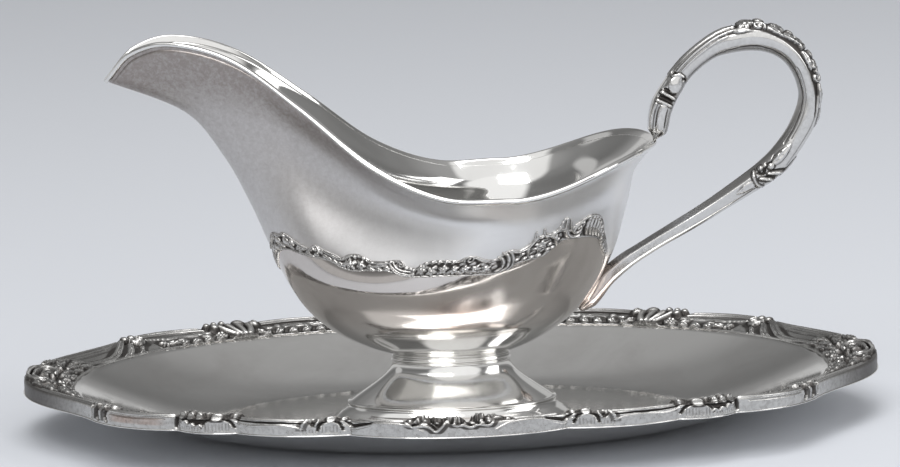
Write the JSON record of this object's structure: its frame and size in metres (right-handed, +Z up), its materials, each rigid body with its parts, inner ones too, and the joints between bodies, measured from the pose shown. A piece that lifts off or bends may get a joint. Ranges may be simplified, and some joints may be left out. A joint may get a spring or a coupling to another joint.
{
  "type": "gravy boat with underplate",
  "caption": "Footed gravy boat with a long pouring lip, a looped handle and a frieze, standing loose in an oval underplate with a scalloped cast border.",
  "frame": {"origin": "on the surface the underplate stands on, under the middle of the underplate", "axes": "+X from the bowl towards the handle, with the spout towards -X; +Y to the back side; +Z up"},
  "size_m": [0.248, 0.1736, 0.1145],
  "materials": {
    "polished_silver": "silver plate, polished and lightly worn",
    "satin_silver": "silver plate, soft satin above and bright below, with faint smudges",
    "cast_silver": "cast silver, bright on the high places and dark in the recesses"
  },
  "bodies": {
    "underplate": {"underplate_sheet": "polished_silver", "border_right_end": "cast_silver", "border_back_side": "cast_silver", "border_left_end": "cast_silver", "border_front_side": "cast_silver"},
    "boat": {"foot_base_band": "polished_silver", "pedestal_foot": "polished_silver", "neck_collar": "polished_silver", "bowl_back_half": "satin_silver", "bowl_front_half": "satin_silver", "rim_wire": "polished_silver", "frieze_back_strip": "cast_silver", "frieze_front_strip": "cast_silver", "handle_back_half": "cast_silver", "handle_front_half": "cast_silver"}
  },
  "joints": [
    {"name": "boat_lift", "type": "slide", "parent": "underplate", "child": "boat", "axis": [0, 0, 1], "range_m": [0, 0.06]}
  ]
}
